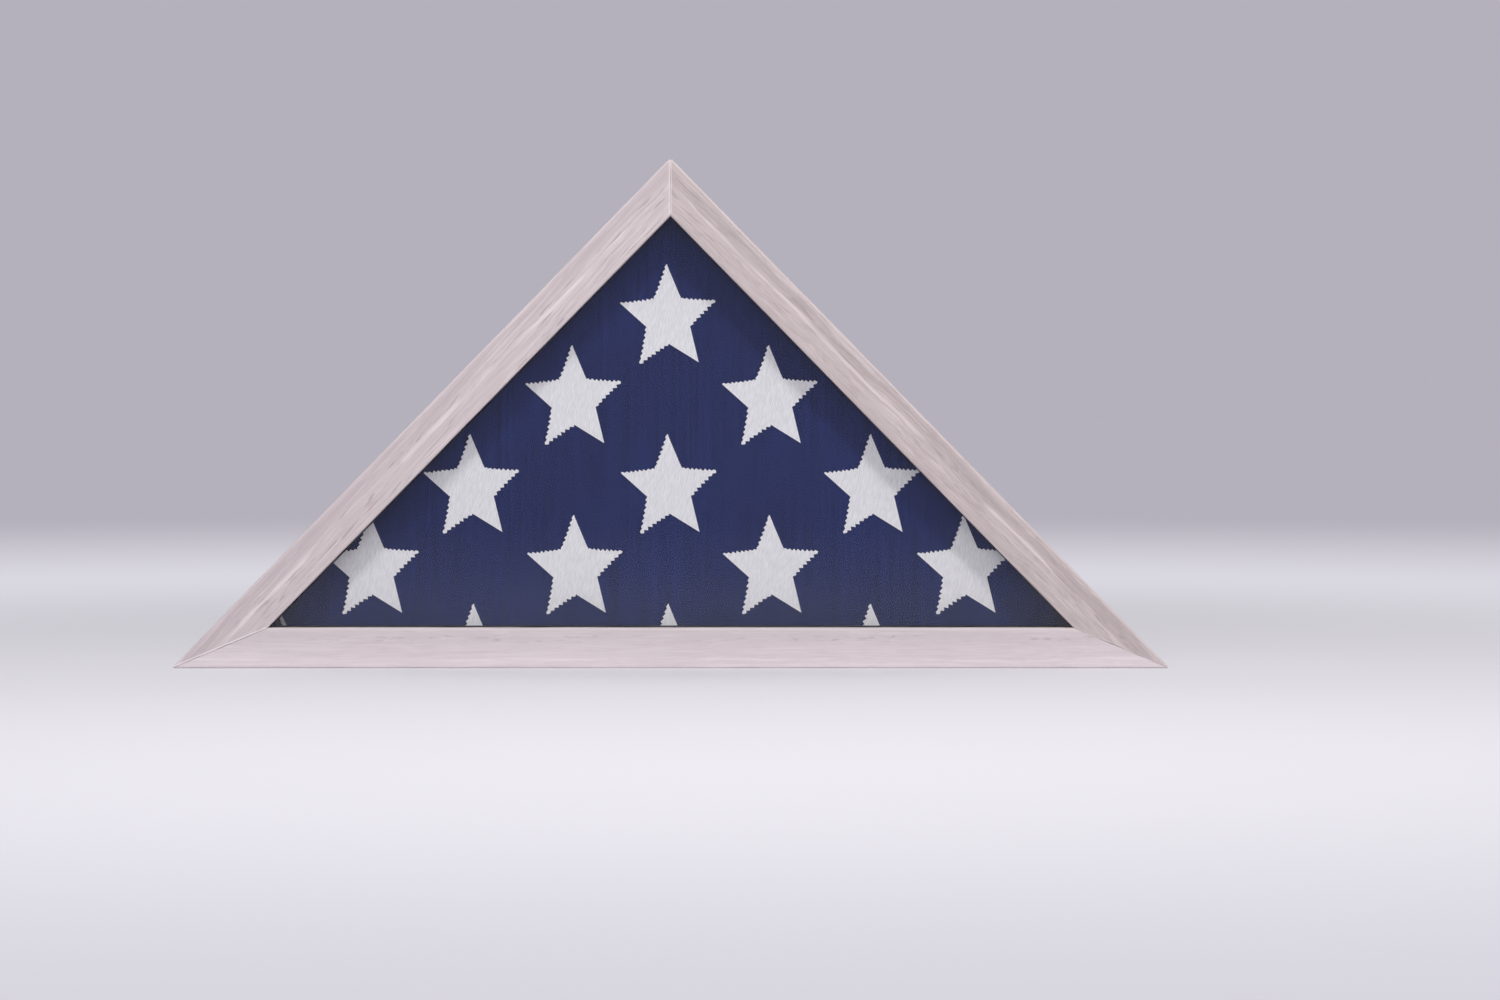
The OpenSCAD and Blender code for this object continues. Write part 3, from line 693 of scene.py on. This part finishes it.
def white_stitching():
    """Polyester thread in satin stitch: bright greyish white with a silky sheen across the stitches.
    Threads run up and down with a slight slant, drawn at 1.1 mm so that they show."""
    thread = new_material("white polyester thread, satin stitch")
    pitch = 1.1 * mm
    strand_scale = (1 / (0.9 * mm), 1 / (20 * mm), 1 / (6 * mm))
    place = add_node(thread, "ShaderNodeTexCoord").outputs["Object"]
    slanted = add_node(thread, "ShaderNodeMapping", {"Vector": place,
                       "Rotation": (0, math.radians(-12), 0)}).outputs[0]
    split = add_node(thread, "ShaderNodeSeparateXYZ", {0: slanted})
    wander = add_node(thread, "ShaderNodeTexNoise", {"Vector": slanted, "Scale": 1 / (12 * mm),
                      "Detail": 2.0}).outputs[0]
    moved = add_node(thread, "ShaderNodeMath", {0: wander, 1: 1.2 * mm, 2: split.outputs[0]},
                     operation="MULTIPLY_ADD").outputs[0]
    angle = add_node(thread, "ShaderNodeMath", {0: moved, 1: 2 * math.pi / pitch},
                     operation="MULTIPLY").outputs[0]
    ribs = add_node(thread, "ShaderNodeMath", {0: angle}, operation="SINE").outputs[0]
    drawn = add_node(thread, "ShaderNodeVectorMath", {0: slanted, 1: strand_scale},
                     operation="MULTIPLY").outputs[0]
    strands = add_node(thread, "ShaderNodeTexNoise", {"Vector": drawn, "Scale": 1.0, "Detail": 3.0,
                       "Roughness": 0.6}).outputs[0]
    tone = add_node(thread, "ShaderNodeMath", {0: ribs, 1: 0.12, 2: strands},
                    operation="MULTIPLY_ADD").outputs[0]
    share = add_node(thread, "ShaderNodeMapRange", {0: tone, 1: 0.3, 2: 0.7}).outputs[0]
    colour = add_node(thread, "ShaderNodeMix", {0: share, 6: linear("#d6d2d9"), 7: linear("#ede8ef")},
                      data_type="RGBA").outputs[2]
    bump = add_node(thread, "ShaderNodeBump", {"Height": tone, "Strength": 0.35,
                    "Distance": 0.2 * mm})
    surface = add_node(thread, "ShaderNodeBsdfPrincipled", {"Base Color": colour, "Roughness": 0.65,
                       "Specular IOR Level": 0.15, "Sheen Weight": 0.05, "Normal": bump.outputs[0]})
    add_node(thread, "ShaderNodeOutputMaterial", {"Surface": surface.outputs[0]})
    return thread


sewn_stars = sew_stars()
sewn_stars.data.materials.append(white_stitching())
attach(sewn_stars, "flag")
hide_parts("flag_stars")

# ---- Lining and back panel -------------------------------------------------------------------------
# A panel of tempered hardboard, painted dark brown, that lies in the rebate behind the flag. Black
# felt is glued to its inside, so that the cloth doesn't rub.


def black_felt():
    """Needled wool felt: deep black that takes the light, with a short fuzz and flecks of fibre."""
    felt = new_material("black wool felt, needled")
    place = add_node(felt, "ShaderNodeTexCoord").outputs["Object"]
    fuzz = add_node(felt, "ShaderNodeTexNoise", {"Vector": place, "Scale": 1 / (0.7 * mm),
                    "Detail": 5.0, "Roughness": 0.75}).outputs[0]
    share = add_node(felt, "ShaderNodeMapRange", {0: fuzz, 1: 0.35, 2: 0.7}).outputs[0]
    tone = add_node(felt, "ShaderNodeMix", {0: share, 6: linear("#121114"), 7: linear("#26252a")},
                    data_type="RGBA").outputs[2]
    bump = add_node(felt, "ShaderNodeBump", {"Height": fuzz, "Strength": 0.6, "Distance": 0.3 * mm})
    surface = add_node(felt, "ShaderNodeBsdfPrincipled", {"Base Color": tone, "Roughness": 1.0,
                       "Specular IOR Level": 0.1, "Sheen Weight": 0.25, "Sheen Roughness": 0.6,
                       "Normal": bump.outputs[0]})
    add_node(felt, "ShaderNodeOutputMaterial", {"Surface": surface.outputs[0]})
    return felt


def dark_hardboard():
    """Tempered hardboard, rolled with thin brown-black paint: smooth, a little mottled, with the
    fibres of the pulp and a few pale scuffs in it."""
    board = new_material("tempered hardboard, painted")
    place = add_node(board, "ShaderNodeTexCoord").outputs["Object"]
    mottled = add_node(board, "ShaderNodeTexNoise", {"Vector": place, "Scale": 1 / (30 * mm),
                       "Detail": 5.0, "Roughness": 0.65}).outputs[0]
    fibres = add_node(board, "ShaderNodeTexNoise", {"Vector": place, "Scale": 1 / (1.3 * mm),
                      "Detail": 4.0, "Roughness": 0.7, "Distortion": 1.5}).outputs[0]
    tone = add_node(board, "ShaderNodeMix", {0: mottled, 6: linear("#332d2a"), 7: linear("#4a423c")},
                    data_type="RGBA").outputs[2]
    flecks = add_node(board, "ShaderNodeMapRange", {0: fibres, 1: 0.58, 2: 0.72, 3: 0.0, 4: 0.5})
    tone = add_node(board, "ShaderNodeMix", {0: flecks.outputs[0], 6: tone, 7: linear("#5d534a")},
                    data_type="RGBA").outputs[2]
    gloss = add_node(board, "ShaderNodeMapRange", {0: mottled, 1: 0.3, 2: 0.7, 3: 0.5, 4: 0.66})
    bump = add_node(board, "ShaderNodeBump", {"Height": fibres, "Strength": 0.2,
                    "Distance": 0.1 * mm})
    surface = add_node(board, "ShaderNodeBsdfPrincipled", {"Base Color": tone,
                       "Roughness": gloss.outputs[0], "Normal": bump.outputs[0]})
    add_node(board, "ShaderNodeOutputMaterial", {"Surface": surface.outputs[0]})
    return board


finish_node("panel_lining", black_felt())
finish_node("back_panel", dark_hardboard())

# ---- Turn buttons, hangers and their screws --------------------------------------------------------
# Six stamped turn buttons swing over the panel's edge, and two strap hangers with rings of bent wire
# take the wall hooks. All are nickel-plated steel, and pan-head screws hold them.
stamped_steel = nickel_steel("nickel-plated steel, stamped", 1.5, 0.3)
for side in ("left", "right"):
    for place in ("low", "high", "base"):
        finish_node(f"{side}_{place}_button", stamped_steel)
    finish_node(f"{side}_hanger_strap", stamped_steel)
    finish_node(f"{side}_hanger_ring", nickel_steel(f"nickel-plated steel wire, {side}", 0.9, 0.24))
screw_steel = nickel_steel("nickel-plated screw steel", 0.6, 0.33)
finish_node("button_screws", screw_steel)
finish_node("hanger_screws", screw_steel)

# ---- Wall bumpers ----------------------------------------------------------------------------------
# Two round pads of moulded black rubber, stuck to the back of the base rail. When the case hangs from
# its rings, they hold its foot off the wall.


def black_rubber():
    """Moulded rubber: dull black, slightly greyed, with a fine dusty grain."""
    rubber = new_material("black rubber, moulded")
    place = add_node(rubber, "ShaderNodeTexCoord").outputs["Object"]
    dust = add_node(rubber, "ShaderNodeTexNoise", {"Vector": place, "Scale": 1 / (0.8 * mm),
                    "Detail": 4.0}).outputs[0]
    tone = add_node(rubber, "ShaderNodeMix", {0: dust, 6: linear("#1b1b1c"), 7: linear("#2c2c2e")},
                    data_type="RGBA").outputs[2]
    bump = add_node(rubber, "ShaderNodeBump", {"Height": dust, "Strength": 0.2,
                    "Distance": 0.08 * mm})
    surface = add_node(rubber, "ShaderNodeBsdfPrincipled", {"Base Color": tone, "Roughness": 0.75,
                       "Normal": bump.outputs[0]})
    add_node(rubber, "ShaderNodeOutputMaterial", {"Surface": surface.outputs[0]})
    return rubber


finish_node("wall_bumpers", black_rubber())

# ---- Camera ----------------------------------------------------------------------------------------
# A long lens, a little to the right of the case's middle and half-way up it, that looks down by about
# a degree and a half.
degrees_down = 1.423
camera_data = bpy.data.cameras.new("camera")
camera_data.sensor_width = 36.0
camera_data.lens = 100.9
camera = bpy.data.objects.new("camera", camera_data)
camera.location = (0.0530, -2.8475, 0.1818)
camera.rotation_euler = (math.radians(90 - degrees_down), 0, 0)
bpy.context.scene.collection.objects.link(camera)
bpy.context.scene.camera = camera

# ---- Floor and light -------------------------------------------------------------------------------
# A pale matt floor that fades into a plain lavender grey surround, which glows pale near the case and
# greyer far off in place of the lamps' light: painted light. A small key lamp high in front casts the
# lip's shadow on the cloth, two broad lamps in front fill it, a cool one from the left and a warm one
# from the right, and two more light the sides and the back.
floor_r = 12.0
floor_shape = bmesh.new()
bmesh.ops.create_circle(floor_shape, cap_ends=True, radius=floor_r, segments=96)
floor = finished(floor_shape, "floor")


def seen_plainly(material):
    """1 for rays that should see the plain surround: the camera's, and those in metal and glass."""
    ray = add_node(material, "ShaderNodeLightPath")
    share = ray.outputs["Is Camera Ray"]
    for kind in ("Is Glossy Ray", "Is Transmission Ray"):
        share = add_node(material, "ShaderNodeMath", {0: share, 1: ray.outputs[kind]},
                         operation="MAXIMUM").outputs[0]
    return share


def pale_floor():
    """Matt white paint, a plain stage that turns to the colour of the surround far off. Past the lit
    middle it glows, pale near the case and greyer far off, in place of the lamps' light: painted light.
    """
    paint = new_material("matt paint, pale floor")
    place = add_node(paint, "ShaderNodeTexCoord").outputs["Object"]
    far = add_node(paint, "ShaderNodeVectorMath", {0: place}, operation="LENGTH").outputs["Value"]
    fade = add_node(paint, "ShaderNodeMapRange", {0: far, 1: 0.4, 2: 1.6},
                    interpolation_type="SMOOTHSTEP").outputs[0]
    farther = add_node(paint, "ShaderNodeMapRange", {0: far, 1: 0.6, 2: 3.6},
                       interpolation_type="SMOOTHSTEP").outputs[0]
    # The glow's sweep is painted light: pale where the lamps would still light the floor, greyer far off
    sweep = add_node(paint, "ShaderNodeMix", {0: farther, 6: linear("#e2e0e8"), 7: linear("#b5b1bc")},
                     data_type="RGBA").outputs[2]
    near = add_node(paint, "ShaderNodeBsdfPrincipled", {"Base Color": linear("#ecebf2"),
                    "Roughness": 0.8, "Specular IOR Level": 0.2})
    surround = add_node(paint, "ShaderNodeEmission", {"Color": sweep})
    mixed = add_node(paint, "ShaderNodeMixShader", {0: fade, 1: near.outputs[0],
                     2: surround.outputs[0]})
    seen = add_node(paint, "ShaderNodeMixShader", {0: seen_plainly(paint), 1: near.outputs[0],
                    2: mixed.outputs[0]})
    add_node(paint, "ShaderNodeOutputMaterial", {"Surface": seen.outputs[0]})
    return paint


floor.data.materials.append(pale_floor())

world = bpy.data.worlds.new("surround")
bpy.context.scene.world = world
world.use_nodes = True
world.node_tree.nodes.clear()
ambient = add_node(world, "ShaderNodeBackground", {"Color": linear("#e6e5e8"), "Strength": 0.42})
plain = add_node(world, "ShaderNodeBackground", {"Color": linear("#b5b1bc"), "Strength": 1.0})
both = add_node(world, "ShaderNodeMixShader", {0: seen_plainly(world), 1: ambient.outputs[0],
                2: plain.outputs[0]})
add_node(world, "ShaderNodeOutputWorld", {"Surface": both.outputs[0]})


def hang_lamp(name, towards, distance, size, power, colour):
    """A square soft lamp, hung in a direction from the case's middle and aimed at it."""
    lamp = bpy.data.lights.new(name, "AREA")
    lamp.shape = "SQUARE"
    lamp.size = size
    lamp.energy = power
    lamp.color = linear(colour)[:3]
    hung = bpy.data.objects.new(name, lamp)
    middle = Vector((0, 0, case_h / 3))
    direction = Vector(towards).normalized()
    hung.location = middle + direction * distance
    hung.rotation_euler = direction.to_track_quat("Z", "Y").to_euler()
    bpy.context.scene.collection.objects.link(hung)


hang_lamp("key_lamp", (0.111, -1, 1.314), 2.4, 0.32, 26.0, "#fffdfa")
hang_lamp("fill_lamp_left", (-0.17, -1, 0.30), 3.0, 0.9, 11.5, "#f0f4ff")
hang_lamp("fill_lamp_right", (0.17, -1, 0.30), 3.0, 0.9, 11.5, "#fff5ec")
hang_lamp("back_lamp_left", (-1.2, 0.7, 1.4), 3.2, 2.0, 9.0, "#f6f7ff")
hang_lamp("back_lamp_right", (1.2, 0.7, 1.4), 3.2, 2.0, 9.0, "#fffaf6")

bpy.context.scene.view_settings.view_transform = "Standard"
